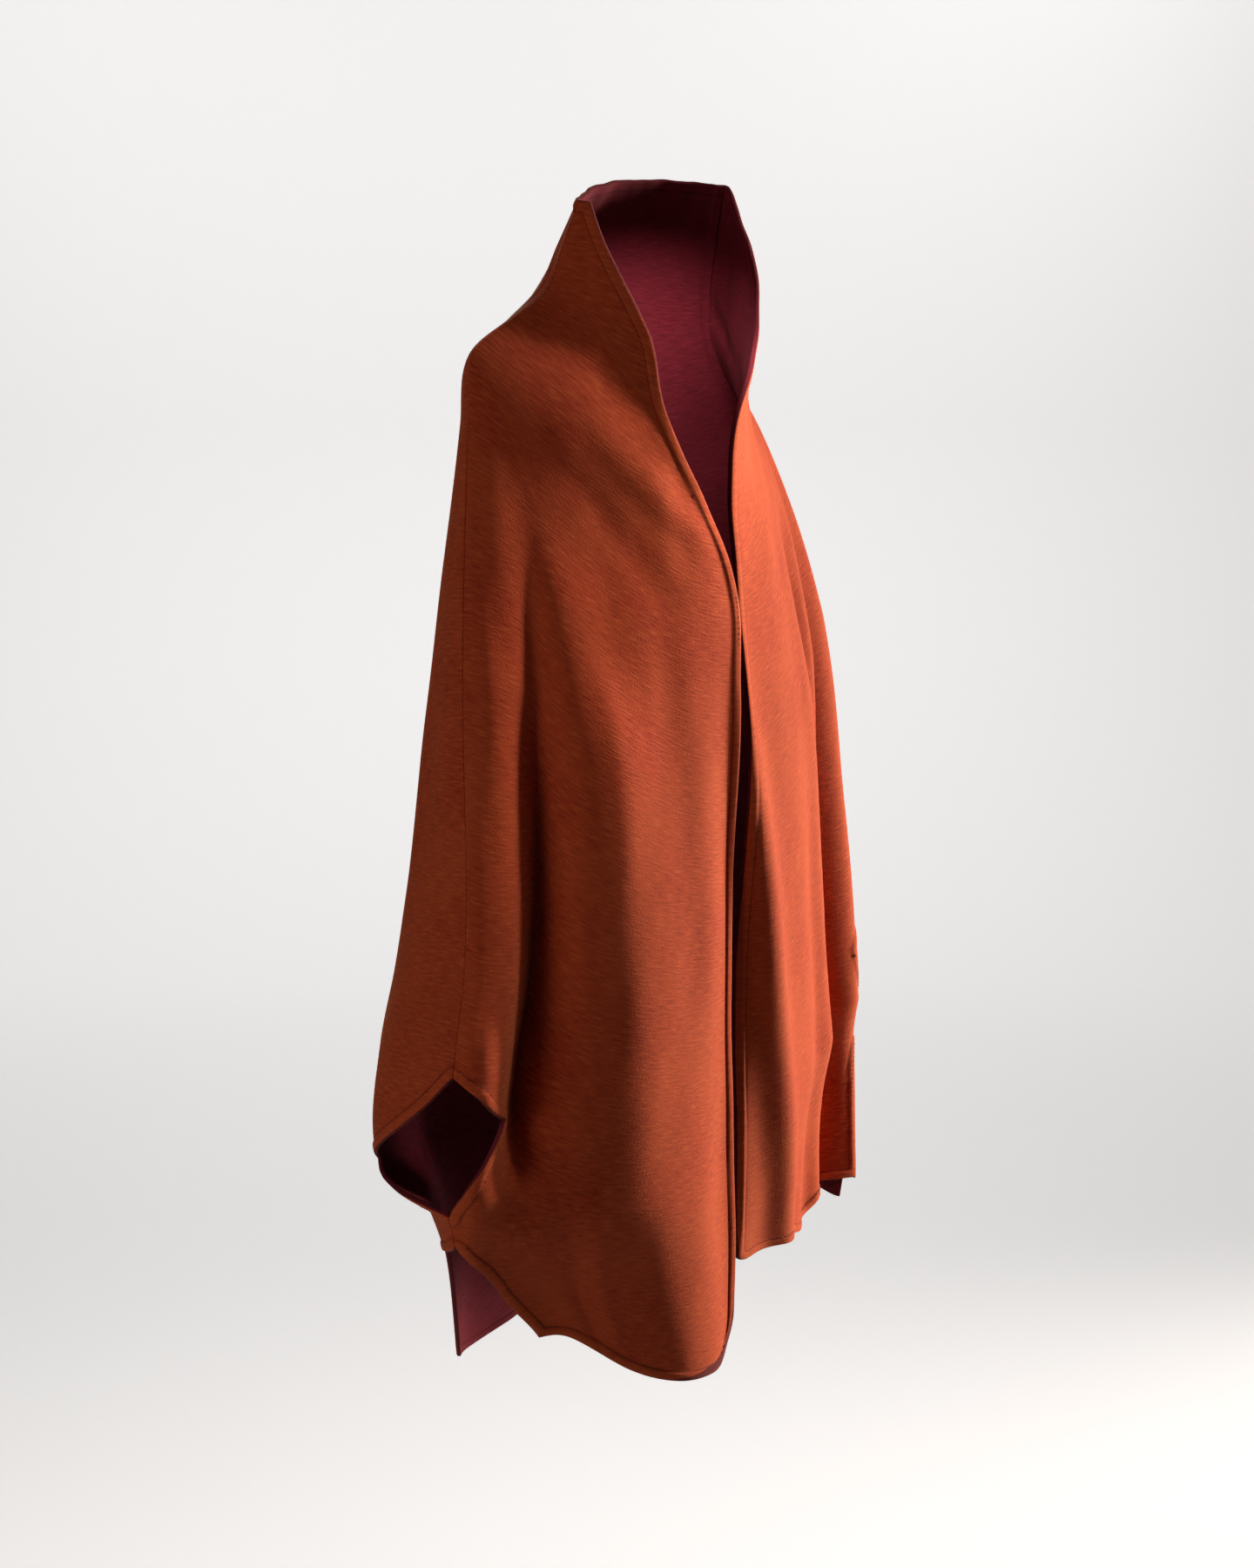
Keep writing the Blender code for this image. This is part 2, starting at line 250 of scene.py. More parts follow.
# Name, start, end, half width and push.
CREASES = tuple(Crease(*row) for row in (
    ("right chest drape", (60, 0.160), (4, 0.235), 0.022, 0.0040),
    ("right under drape", (62, 0.215), (22, 0.300), 0.022, -0.0018),
    ("right chest slack", (49, 0.27), (41, 0.42), 0.034, -0.0045),
    ("right sleeve drag", (84, 0.27), (72, 0.52), 0.012, -0.0018),
    ("right sleeve slack", (82, 0.48), (80, 0.76), 0.012, -0.0030),
    ("right hem ridge", (38, 0.86), (35, 1.05), 0.009, 0.0016),
    ("right hem trough", (43, 0.88), (41, 1.05), 0.008, -0.0014),
    ("left edge roll", (361, 0.42), (360, 1.20), 0.034, -0.0100),
    ("left chest drape", (306, 0.15), (340, 0.30), 0.022, 0.0030),
    ("left outer crease", (300, 0.42), (303, 0.98), 0.007, -0.0035),
    ("collar right soft", (150, 0.02), (156, 0.30), 0.016, 0.0022),
    ("collar left soft", (205, 0.02), (200, 0.24), 0.014, 0.0020),
    ("collar middle trough", (178, 0.03), (181, 0.22), 0.015, -0.0018),
    ("left collar bend", (272, 0.12), (300, 0.16), 0.012, 0.0045),
    ("back yoke right", (118, 0.20), (150, 0.34), 0.024, -0.0030),
    ("back yoke left", (242, 0.20), (208, 0.36), 0.022, -0.0028),
    ("back sleeve right", (112, 0.36), (120, 0.74), 0.014, 0.0028),
    ("back sleeve left", (248, 0.34), (238, 0.70), 0.014, 0.0030),
))


@dataclass
class CapeForm:
    """The surface that the three panels lie on, as a function of bearing and fall.

    A bearing is 0 at the centre front, 90 at the wearer's right, 180 at the centre
    back and 270 at the wearer's left. A fall is the distance down the cloth from
    the collar's top edge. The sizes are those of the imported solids, but for four
    folds of the two fronts, which follow the photo more closely.
    """

    length: float = 1.060
    sleeve_end: float = 0.790
    join_top: float = 0.890
    join_end: float = 0.920
    dip_begins: float = 0.90
    collar_dip_ends: float = 0.12
    swing_power: int = 6
    corner_radius: dict[Side, float] = field(
        default_factory=lambda: {Side.RIGHT: 0.045, Side.LEFT: 0.020})
    back_sections: tuple[BackSection, ...] = BACK_SECTIONS
    front_sections: dict[Side, tuple[FrontSection, ...]] = field(
        default_factory=lambda: dict(FRONT_SECTIONS))
    folds: tuple[Fold, ...] = FOLDS
    dips: tuple[Dip, ...] = (
        Dip(142, 24, 0.062),
        Dip(50, 15, -0.0265),
        Dip(322, 14, 0.027),
        Dip(262, 12, 0.030),
    )
    collar_dips: tuple[Dip, ...] = (Dip(154, 52, 0.010),)
    creases: tuple[Crease, ...] = CREASES
    crease_rises: tuple[float, float] = (-0.25, 0.35)
    crease_fades: tuple[float, float] = (0.65, 1.25)

    def sized(self, rows: tuple, name: str, fall: np.ndarray) -> np.ndarray:
        """One named size of a section table at any fall, on a cubic through its rows.

        Between two rows the cubic meets both sizes with the slope that a parabola
        through each row and its neighbours has there.

        Args:
            rows: The section table.
            name: The size's field.
            fall: Where to read it.

        Returns:
            The size at each fall.
        """
        at = np.array([row.fall for row in rows])
        size = np.array([getattr(row, name) for row in rows])
        step = np.diff(at)
        slope = np.diff(size) / step
        tangent = np.concatenate([slope[:1], np.zeros(len(at) - 2), slope[-1:]])
        tangent[1:-1] = (slope[:-1] * step[1:] + slope[1:] * step[:-1]) / (step[:-1] + step[1:])
        row = np.clip(np.searchsorted(at, fall, side="right") - 1, 0, len(step) - 1)
        u = np.clip((fall - at[row]) / step[row], 0.0, 1.0)
        blend = u * u * (3.0 - 2.0 * u)
        start_pull = u * (1.0 - u) ** 2 * step[row] * tangent[row]
        end_pull = u * u * (u - 1.0) * step[row] * tangent[row + 1]
        return size[row] + (size[row + 1] - size[row]) * blend + start_pull + end_pull

    def front_size(self, name: str, bearing: np.ndarray, fall: np.ndarray) -> np.ndarray:
        """A size of the front tables, from the side that each bearing lies on."""
        right = self.sized(self.front_sections[Side.RIGHT], name, fall)
        left = self.sized(self.front_sections[Side.LEFT], name, fall)
        return np.where(np.sin(np.radians(bearing)) >= 0.0, right, left)

    def smooth_point(self, bearing: np.ndarray, fall: np.ndarray) -> np.ndarray:
        """The cloth's inner face without its small creases.

        Across the body a point lies at -half_width sin(b). Ahead it lies at the
        section's middle plus depth |cos b|^power, towards the front or the back,
        plus the sleeve's swing forward times sin^6(b). Its height is the side
        height plus (front or back height - side height) cos^2(b). Each fold then
        pushes it along the section's outward direction.

        Args:
            bearing: Bearings in degrees.
            fall: Falls in metres.

        Returns:
            Points, with x, y and z on the last axis.
        """
        angle = np.radians(bearing)
        across, ahead = np.sin(angle), np.cos(angle)
        in_front = ahead > 0.0
        half_width = self.front_size("half_width", bearing, fall)
        depth = np.where(in_front, self.front_size("depth", bearing, fall),
                         self.sized(self.back_sections, "depth", fall))
        power = self.sized(self.back_sections, "power", fall)
        power = np.where(in_front, np.maximum(power, 1.0), power)
        x = -half_width * across
        forward = self.sized(self.back_sections, "middle", fall)
        forward = forward + np.sign(ahead) * depth * np.abs(ahead) ** power
        forward = forward + self.front_size("forward", bearing, fall) * across ** self.swing_power
        side_height = self.front_size("side_height", bearing, fall)
        end_height = np.where(in_front, self.front_size("front_height", bearing, fall),
                              self.sized(self.back_sections, "height", fall))
        z = side_height + (end_height - side_height) * ahead ** 2
        out_x, out_forward = -across * depth, ahead * half_width
        size = np.hypot(out_x, out_forward)
        for fold in self.folds:
            centre = fold.top_bearing + (fold.hem_bearing - fold.top_bearing) * fall / self.length
            strength = ramp(fall, fold.begins, fold.full) * (1.0 - ramp(fall, fold.fades, fold.ends))
            push = fold.push * strength * bearing_bump(bearing, centre, fold.width)
            x = x + push * out_x / size
            forward = forward + push * out_forward / size
        at_hem = ramp(fall, self.dip_begins, self.length)
        at_collar = 1.0 - ramp(fall, 0.0, self.collar_dip_ends)
        for dips, strength in ((self.dips, at_hem), (self.collar_dips, at_collar)):
            for dip in dips:
                z = z - dip.drop * strength * bearing_bump(bearing, dip.bearing, dip.width)
        return np.stack([x, -forward, z], axis=-1)

    def normal(self, bearing: np.ndarray, fall: np.ndarray) -> np.ndarray:
        """The smooth form's outward normal, from points a degree or 3 mm to each side."""
        turn, drop = 1.0, 3.0 * MM
        along = self.smooth_point(bearing + turn, fall) - self.smooth_point(bearing - turn, fall)
        low = np.minimum(fall + drop, self.length)
        high = np.maximum(fall - drop, 0.0)
        down = self.smooth_point(bearing, low) - self.smooth_point(bearing, high)
        return unit(np.cross(along, down))

    def metres_per_degree(self, bearing: np.ndarray, fall: np.ndarray) -> np.ndarray:
        """How far the cloth goes round for a degree of bearing."""
        step = self.smooth_point(bearing + 0.5, fall) - self.smooth_point(bearing - 0.5, fall)
        return np.linalg.norm(step, axis=-1)

    def crease_push(self, bearing: np.ndarray, fall: np.ndarray) -> np.ndarray:
        """How far all the creases push the cloth out at each point.

        A crease is a bell across its line, from start to end, times a smooth rise
        and fall along it.

        Args:
            bearing: Bearings in degrees.
            fall: Falls in metres.

        Returns:
            The push in metres.
        """
        push = np.zeros(np.broadcast(bearing, fall).shape)
        for crease in self.creases:
            (b0, f0), (b1, f1) = crease.start, crease.end
            scale = float(self.metres_per_degree(np.array((b0 + b1) / 2), np.array((f0 + f1) / 2)))
            line = np.array([(b1 - b0) * scale, f1 - f0])
            size = float(np.hypot(*line))
            right, down = (bearing - b0) * scale, fall - f0
            along = (right * line[0] + down * line[1]) / size ** 2
            away = (right * line[1] - down * line[0]) / size
            ends = ramp(along, *self.crease_rises) * (1.0 - ramp(along, *self.crease_fades))
            push = push + crease.push * np.exp(-((away / crease.half_width) ** 2)) * ends
        return push

    def front_edge(self, side: Side, fall: np.ndarray) -> np.ndarray:
        """The bearing of a front edge away from the centre, with its rounded lower corner."""
        radius = self.corner_radius[side]
        past = np.clip(fall - (self.length - radius), 0.0, radius)
        rows = self.front_sections[side]
        gap = self.sized(rows, "gap", fall) + radius - np.sqrt(radius ** 2 - past ** 2)
        return np.degrees(np.arcsin(gap / self.sized(rows, "half_width", fall)))

    def is_open(self, fall: np.ndarray) -> np.ndarray:
        """Whether a side edge is free there: round the arm opening or down the slit."""
        opening = (fall > self.sleeve_end) & (fall < self.join_top)
        return opening | (fall > self.join_end)


UNEVENNESS: tuple[Wave, ...] = (
    Wave(0.110, 0.620, 0.3, 0.00050),
    Wave(-0.073, 0.480, 1.9, 0.00030),
    Wave(0.048, 0.350, 4.0, 0.00018),
    Wave(0.310, 0.160, 2.2, 0.00012),
    Wave(-0.036, 0.230, 5.1, 0.00008),
)


def unevenness(across: np.ndarray, along: np.ndarray) -> np.ndarray:
    """The sum of the waves' sines of 2 pi (across / length + along / length) + phase.

    Args:
        across: Metres across the cloth.
        along: Metres down the cloth.

    Returns:
        The slight unevenness in metres.
    """
    turns = [2.0 * math.pi * (across / w.across + along / w.along) + w.phase for w in UNEVENNESS]
    return sum(w.height * np.sin(turn) for w, turn in zip(UNEVENNESS, turns))


def distance_to_lines(points: np.ndarray, starts: np.ndarray, ends: np.ndarray) -> np.ndarray:
    """The least distance from each point to a set of straight stretches.

    With e = end - start and q = (p - start).e, the nearest place on a stretch is at
    t = q / e.e held between 0 and 1, and its squared distance is
    |p - start|^2 - 2 t q + t^2 e.e.

    Args:
        points: Points, one a row.
        starts: The stretches' first ends.
        ends: Their other ends.

    Returns:
        One distance for each point.
    """
    block = 4000
    edge = ends - starts
    size = np.maximum((edge ** 2).sum(axis=1), 1e-12)
    start_square, start_edge = (starts ** 2).sum(axis=1), (starts * edge).sum(axis=1)
    found = np.empty(len(points))
    for first in range(0, len(points), block):
        part = points[first:first + block]
        from_start = (part ** 2).sum(axis=1)[:, None] - 2.0 * part @ starts.T + start_square
        q = part @ edge.T - start_edge
        t = np.clip(q / size, 0.0, 1.0)
        nearest = (from_start - 2.0 * t * q + t * t * size).min(axis=1)
        found[first:first + block] = np.sqrt(np.maximum(nearest, 0.0))
    return found


def link_mesh(name: str, points: np.ndarray, faces: np.ndarray) -> bpy.types.Object:
    """Puts points and four-sided faces into a new smooth-shaded mesh object.

    Args:
        name: The object's name.
        points: Points, one a row.
        faces: Four point numbers a row.

    Returns:
        The object, at the origin, in the scene.
    """
    mesh = bpy.data.meshes.new(name)
    mesh.vertices.add(len(points))
    mesh.vertices.foreach_set("co", points.astype(np.float32).ravel())
    mesh.loops.add(faces.size)
    mesh.loops.foreach_set("vertex_index", faces.astype(np.int32).ravel())
    mesh.polygons.add(len(faces))
    mesh.polygons.foreach_set("loop_start", np.arange(0, faces.size, 4, dtype=np.int32))
    mesh.update(calc_edges=True)
    mesh.validate()
    mesh.shade_smooth()
    piece = bpy.data.objects.new(name, mesh)
    bpy.context.scene.collection.objects.link(piece)
    return piece


@dataclass(frozen=True)
class Hem:
    """A turned edge: the cloth folded back on itself and caught by one line of stitches."""

    width: float = HEM_MM * MM
    rise: float = 1.0 * MM
    fullness: float = 0.5 * MM
    groove: float = 0.8 * MM
    groove_half_width: float = 0.9 * MM
    inner_rise: float = 0.35 * MM
    inner_groove: float = 0.4 * MM
    step_before: float = 0.5 * MM
    step_after: float = 1.3 * MM

    def band(self, inside_edge: np.ndarray) -> np.ndarray:
        """1 on the turned part and 0 past it, with a smooth step at the stitching."""
        return 1.0 - ramp(inside_edge, self.width - self.step_before, self.width + self.step_after)

    def dent(self, inside_edge: np.ndarray) -> np.ndarray:
        """A bell of height 1 at the stitching, which draws the cloth in."""
        return np.exp(-(((inside_edge - self.width) / self.groove_half_width) ** 2))

    def outer(self, inside_edge: np.ndarray) -> np.ndarray:
        """The hem's relief on the outer face, by the distance from a free edge.

        It is a step of rise that ends just past the stitching, plus fullness times
        a half sine across the hem, less a bell-shaped groove at the stitching.

        Args:
            inside_edge: Distance from the nearest free edge.

        Returns:
            The relief in metres.
        """
        full = np.sin(math.pi * np.clip(inside_edge / self.width, 0.0, 1.0))
        return (self.rise * self.band(inside_edge) + self.fullness * full
                - self.groove * self.dent(inside_edge))

    def inner(self, inside_edge: np.ndarray) -> np.ndarray:
        """The same on the inner face, where the turning hardly shows."""
        return self.inner_rise * self.band(inside_edge) - self.inner_groove * self.dent(inside_edge)


@dataclass(frozen=True)
class PanelSurface:
    """Where a panel's cloth lies, for the stitches that are placed on it.

    base, out and lift are the grid's points, their outward normals and the outer
    face's height above them. border holds the border's point numbers, and free
    says which of its stretches are free edges.
    """

    base: np.ndarray
    out: np.ndarray
    lift: np.ndarray
    border: np.ndarray
    free: np.ndarray


@dataclass
class ClothPanel:
    """One cut piece of the cape as a closed shell with an outer and an inner face.

    first and last are the panel's two long edges, each a row of bearing and fall
    for every row of the grid, and a row of the grid runs straight between them.
    turned says that the rows run round the body the other way, so that the corners
    of every face are listed backwards.
    """

    name: str
    form: CapeForm
    first: np.ndarray
    last: np.ndarray
    first_is_front: bool
    inner_columns: int
    turned: bool
    wall: float = 3.0 * MM
    roll: float = 1.6 * MM
    felled_width: float = 8.0 * MM
    felled_rise: float = 0.9 * MM
    felled_step: float = 1.0 * MM
    seam_roll: float = 0.9 * MM
    seam_gap: float = 0.04 * MM
    girth: float = 0.22
    lining_line: float = 1.1 * MM
    rolled_out: float = 9.0 * MM
    rolls_out_between: tuple[float, float] = (0.985, 1.035)
    rolls_out_at: float = 11.0
    rolls_out_width: float = 10.0
    edge_share: float = 0.3
    least_width: float = 1.0 * MM
    hem: Hem = Hem()
    surface: PanelSurface | None = None

    def domain(self) -> np.ndarray:
        """Bearing and fall of every grid point.

        Each row has columns at set distances from its two ends, no more than a
        small share of its width, and evenly spaced ones between them.

        Returns:
            An array of rows, columns and the two coordinates.
        """
        middle = (self.first + self.last) / 2
        scale = self.form.metres_per_degree(middle[:, 0], middle[:, 1])
        width = np.abs(self.last[:, 0] - self.first[:, 0]) * scale
        width = np.maximum(width, self.least_width)[:, None]
        share = np.minimum(EDGE_STEPS / width, EDGE_STEPS / EDGE_STEPS.max() * self.edge_share)
        inner = np.linspace(0.0, 1.0, self.inner_columns + 2)[None, 1:-1]
        inner = share[:, -1:] + (1.0 - 2.0 * share[:, -1:]) * inner
        u = np.hstack([share, inner, 1.0 - share[:, ::-1]])
        return self.first[:, None, :] + (self.last - self.first)[:, None, :] * u[:, :, None]

    def border(self, rows: int, columns: int) -> np.ndarray:
        """The numbers of the grid's border points, once round."""
        index = np.arange(rows * columns).reshape(rows, columns)
        return np.concatenate([index[0, :-1], index[:-1, -1], index[-1, :0:-1], index[:0:-1, 0]])

    def free_stretches(self, grid: np.ndarray) -> np.ndarray:
        """Which stretches of the border are free edges, and not seams.

        The collar's top, the hem and a front edge are free all along. A side edge
        is free round the arm opening and down the slit.

        Args:
            grid: Bearing and fall of every grid point.

        Returns:
            One truth value for each stretch, in the border's order.
        """
        rows, columns = grid.shape[:2]
        end_fall = (self.last[1:, 1] + self.last[:-1, 1]) / 2
        start_fall = ((self.first[1:, 1] + self.first[:-1, 1]) / 2)[::-1]
        across = np.ones(columns - 1, bool)
        start_free = np.ones(rows - 1, bool) if self.first_is_front else self.form.is_open(start_fall)
        return np.concatenate([across, self.form.is_open(end_fall), across, start_free])

    def build(self) -> bpy.types.Object:
        """Builds the shell: both faces share the border, where the edge rolls over.

        Each face lies on the form plus creases and unevenness, moved out or in by
        half the wall. Within the roll's radius r of the border that half wall is
        multiplied by sqrt(1 - (1 - d / r)^2), a quarter circle, so the faces meet.

        Returns:
            The panel's object, with the outer face's material slot first.
        """
        grid = self.domain()
        rows, columns = grid.shape[:2]
        bearing, fall = grid[..., 0], grid[..., 1]
        base = self.form.smooth_point(bearing, fall)
        out = self.form.normal(bearing, fall)
        base = self.part_seams(base)
        step = np.linalg.norm(np.diff(base, axis=1), axis=-1)
        across = np.hstack([np.zeros((rows, 1)), np.cumsum(step, axis=1)])
        if not self.first_is_front:
            across = across - across[:, columns // 2, None]

        border = self.border(rows, columns)
        flat = base.reshape(-1, 3)
        starts, ends = flat[border], flat[np.roll(border, -1)]
        free = self.free_stretches(grid)
        to_free = distance_to_lines(flat, starts[free], ends[free]).reshape(rows, columns)
        to_seam = distance_to_lines(flat, starts[~free], ends[~free]).reshape(rows, columns)

        at_edge = np.clip(to_free / self.roll, 0.0, 1.0)
        at_seam = np.clip(to_seam / self.seam_roll, 0.0, 1.0)
        roll = np.sqrt(1.0 - (1.0 - np.minimum(at_edge, at_seam)) ** 2)
        middle = self.wall / 2 + self.form.crease_push(bearing, fall)
        middle = middle + unevenness(np.radians(bearing) * self.girth, fall)
        outer = self.wall / 2 + self.hem.outer(to_free)
        inner = self.wall / 2 + self.hem.inner(to_free)
        if not self.first_is_front:
            felled = 1.0 - ramp(to_seam, self.felled_width - self.felled_step,
                                self.felled_width + self.felled_step)
            inner = inner + self.felled_rise * felled
        top = base + out * (middle + outer * roll)[..., None]
        under = base + out * (middle - inner * roll)[..., None]
        points, faces, is_inner = self.close(top, under, border)
        piece = link_mesh(self.name, points, faces)
        piece.data.polygons.foreach_set("material_index", is_inner.astype(np.int32))
        self.lay_out(piece, across, fall, border)
        self.mark_distance(piece, HEM_DISTANCE, to_free, border)
        self.mark_distance(piece, LINING_DISTANCE, to_free - self.lining_width(bearing, fall), border)
        self.surface = PanelSurface(base, out, middle + outer, border, free)
        LOG.info("%s: %d faces, %.3f m2 of cloth", self.name, len(faces), self.cloth_area(base))
        return piece

    def part_seams(self, base: np.ndarray) -> np.ndarray:
        """Moves the seam edges apart by the seam's gap, half to each panel."""
        base = base.copy()
        apart = self.seam_gap / 2 * (-1.0 if self.first_is_front else 1.0)
        base[:, -1, 1] += apart
        if not self.first_is_front:
            base[:, 0, 1] += apart
        return base

    def close(self, top: np.ndarray, under: np.ndarray,
              border: np.ndarray) -> tuple[np.ndarray, np.ndarray, np.ndarray]:
        """Joins the outer and inner grids, which share their border points.

        Args:
            top: The outer face's points.
            under: The inner face's points.
            border: The border's point numbers.

        Returns:
            All points, all faces, and whether each face is an inner one.
        """
        rows, columns = top.shape[:2]
        index = np.arange(rows * columns)
        below = index + rows * columns
        below[border] = border
        outer, inner = index.reshape(rows, columns), below.reshape(rows, columns)
        points = np.concatenate([top.reshape(-1, 3), under.reshape(-1, 3)])
        order = [3, 2, 1, 0] if self.turned else [0, 1, 2, 3]

        def quads(at: np.ndarray) -> np.ndarray:
            """The four corners of every cell of a grid of point numbers."""
            corners = np.stack([at[:-1, :-1], at[:-1, 1:], at[1:, 1:], at[1:, :-1]], axis=-1)
            return corners.reshape(-1, 4)[:, order]

        faces = np.concatenate([quads(outer), quads(inner)[:, ::-1]])
        is_inner = np.arange(len(faces)) >= len(faces) // 2
        used, faces = np.unique(faces, return_inverse=True)
        return points[used], faces.reshape(-1, 4), is_inner

    def on_both_faces(self, values: np.ndarray, border: np.ndarray) -> np.ndarray:
        """A value for every point of the shell, from one for every point of the grid."""
        keep = np.ones(len(values), bool)
        keep[border] = False
        return np.concatenate([values, values[keep]]).astype(np.float32)

    def lay_out(self, piece: bpy.types.Object, across: np.ndarray, fall: np.ndarray,
                border: np.ndarray) -> None:
        """Gives the shell a UV map in metres of cloth: across, and down from the collar."""
        place = self.on_both_faces(np.stack([across.ravel(), -fall.ravel()], axis=-1), border)
        mesh = piece.data
        corner = np.empty(len(mesh.loops), np.int32)
        mesh.loops.foreach_get("vertex_index", corner)
        layer = mesh.uv_layers.new(name="UVMap")
        layer.data.foreach_set("uv", place[corner].ravel())

    def lining_width(self, bearing: np.ndarray, fall: np.ndarray) -> np.ndarray:
        """How much of the burgundy face shows round the edge.

        It is a thin line everywhere, and a bell's height more at the lower corner
        of the right front, where the inner face rolls out.

        Args:
            bearing: Bearings in degrees.
            fall: Falls in metres.

        Returns:
            The width in metres.
        """
        low = ramp(fall, *self.rolls_out_between)
        corner = bearing_bump(bearing, np.array(self.rolls_out_at), self.rolls_out_width)
        return self.lining_line + self.rolled_out * low * corner

    def mark_distance(self, piece: bpy.types.Object, name: str, distance: np.ndarray,
                      border: np.ndarray) -> None:
        """Gives each point of the shell a distance in millimetres, as a named attribute."""
        layer = piece.data.attributes.new(name, "FLOAT", "POINT")
        layer.data.foreach_set("value", self.on_both_faces(distance.ravel() / MM, border))

    def cloth_area(self, base: np.ndarray) -> float:
        """The area of one face of the panel, in square metres."""
        down, right = np.diff(base, axis=0)[:, :-1], np.diff(base, axis=1)[:-1]
        return float(np.linalg.norm(np.cross(down, right), axis=-1).sum())


@dataclass
class Stitching:
    """The line of short thread stitches that holds the hems of one panel."""

    panel: ClothPanel
    length: float = 3.2 * MM
    pitch: float = 4.6 * MM
    width: float = 0.8 * MM
    sunk: float = 0.35 * MM
    rings: int = 5
    sides: int = 6
    taper: float = 0.85
    clearance: float = 0.96
    block: int = 200

    def template(self) -> tuple[np.ndarray, np.ndarray]:
        """One stitch: a thread whose height is an arch and whose ends dive into the cloth.

        At t from -1 to 1 along it, its middle is at height (1 - t^2) times half its
        width, and its half width is that of an ellipse with blunt ends.

        Returns:
            Its points as along, aside and out, and its four-sided faces.
        """
        t = np.linspace(-1.0, 1.0, self.rings)
        angle = np.arange(self.sides) * 2.0 * math.pi / self.sides
        radius = self.width / 2 * np.sqrt(1.0 - self.taper * t ** 2)
        along = np.repeat(t * self.length / 2, self.sides)
        aside = (radius[:, None] * np.cos(angle)).ravel()
        rise = self.width / 2 * (1.0 - t ** 2) - self.sunk
        out = (rise[:, None] + radius[:, None] * np.sin(angle)).ravel()
        index = np.arange(self.rings * self.sides).reshape(self.rings, self.sides)
        ahead = np.roll(index, -1, axis=1)
        sides = np.stack([index[:-1], ahead[:-1], ahead[1:], index[1:]], axis=-1).reshape(-1, 4)
        half = self.sides // 2
        caps = [[ring[k], ring[k + 1], ring[self.sides - 2 - k], ring[self.sides - 1 - k]]
                for ring in (index[0][::-1], index[-1]) for k in range(half - 1)]
        return np.stack([along, aside, out], axis=-1), np.concatenate([sides, np.array(caps)])

    def places(self) -> tuple[np.ndarray, np.ndarray, np.ndarray]:
        """Where the stitches lie: a hem's width inside each free edge, a pitch apart.

        A border point moves inward, at right angles to the edge and to the cloth's
        normal. Points that come nearer than that to another edge are dropped.

        Returns:
            The stitches' middles, their directions and their normals.
        """
        cloth = self.panel.surface
        flat, normal = cloth.base.reshape(-1, 3), cloth.out.reshape(-1, 3)
        first_seam = int(np.flatnonzero(~cloth.free)[0])
        border, free = np.roll(cloth.border, -first_seam), np.roll(cloth.free, -first_seam)
        starts, ends = flat[border], flat[np.roll(border, -1)]
        found = []
        for first, last in self.runs(free):
            numbers = np.take(border, np.arange(first, last + 1), mode="wrap")
            step = np.linalg.norm(np.diff(flat[numbers], axis=0), axis=1)
            size = np.concatenate([[0.0], np.cumsum(step)])
            at = np.arange(self.pitch / 2, size[-1], self.pitch)
            place = self.read_along(at, size, flat[numbers])
            up = self.read_along(at, size, normal[numbers])
            found.append((place, np.gradient(place, axis=0), up))
        place, ahead, up = (np.concatenate(part) for part in zip(*found))
        ahead = unit(ahead)
        inward = np.cross(unit(up), ahead) * (-1.0 if self.panel.turned else 1.0)
        place = place + inward * self.panel.hem.width
        near = distance_to_lines(place, starts[free], ends[free])
        kept = near > self.panel.hem.width * self.clearance
        return self.settle(place[kept], ahead[kept])

    def read_along(self, at: np.ndarray, size: np.ndarray, values: np.ndarray) -> np.ndarray:
        """Points or directions at other places on a line, from those at its lengths size."""
        return np.stack([np.interp(at, size, values[:, k]) for k in range(3)], axis=-1)

    def runs(self, free: np.ndarray) -> list[tuple[int, int]]:
        """The stretches of the border that are free without a break, as first and last numbers."""
        change = np.flatnonzero(np.diff(np.concatenate([[False], free, [False]]).astype(int)))
        return [(int(a), int(b)) for a, b in change.reshape(-1, 2)]

    def settle(self, place: np.ndarray,
               ahead: np.ndarray) -> tuple[np.ndarray, np.ndarray, np.ndarray]:
        """Moves each stitch onto the outer face, by the nearest grid point's plane."""
        cloth = self.panel.surface
        top = (cloth.base + cloth.out * cloth.lift[..., None]).reshape(-1, 3)
        top_square = (top ** 2).sum(axis=1)
        nearest = np.empty(len(place), int)
        for first in range(0, len(place), self.block):
            part = place[first:first + self.block]
            away = (part ** 2).sum(axis=1)[:, None] - 2.0 * part @ top.T + top_square
            nearest[first:first + self.block] = away.argmin(axis=1)
        up = cloth.out.reshape(-1, 3)[nearest]
        place = place + up * ((top[nearest] - place) * up).sum(axis=1, keepdims=True)
        ahead = ahead - up * (ahead * up).sum(axis=1, keepdims=True)
        return place, unit(ahead), up

    def build(self) -> bpy.types.Object:
        """Builds all the stitches of the panel as one mesh, from the template and their axes."""
        shape, faces = self.template()
        place, ahead, up = self.places()
        axes = np.stack([ahead, np.cross(up, ahead), up], axis=1)
        points = place[:, None, :] + np.einsum("kj,njc->nkc", shape, axes)
        number = np.arange(len(place))[:, None, None] * len(shape)
        piece = link_mesh(f"{self.panel.name}_stitching", points.reshape(-1, 3),
                          (faces[None] + number).reshape(-1, 4))
        LOG.info("%s: %d stitches", piece.name, len(place))
        return piece


def linear(hex_colour: str) -> tuple[float, float, float, float]:
    """An sRGB hex colour as the linear colour that Blender's sockets take."""
    value = [int(hex_colour[i:i + 2], 16) / 255.0 for i in (1, 3, 5)]
    red, green, blue = (v / 12.92 if v <= 0.04045 else ((v + 0.055) / 1.055) ** 2.4 for v in value)
    return red, green, blue, 1.0


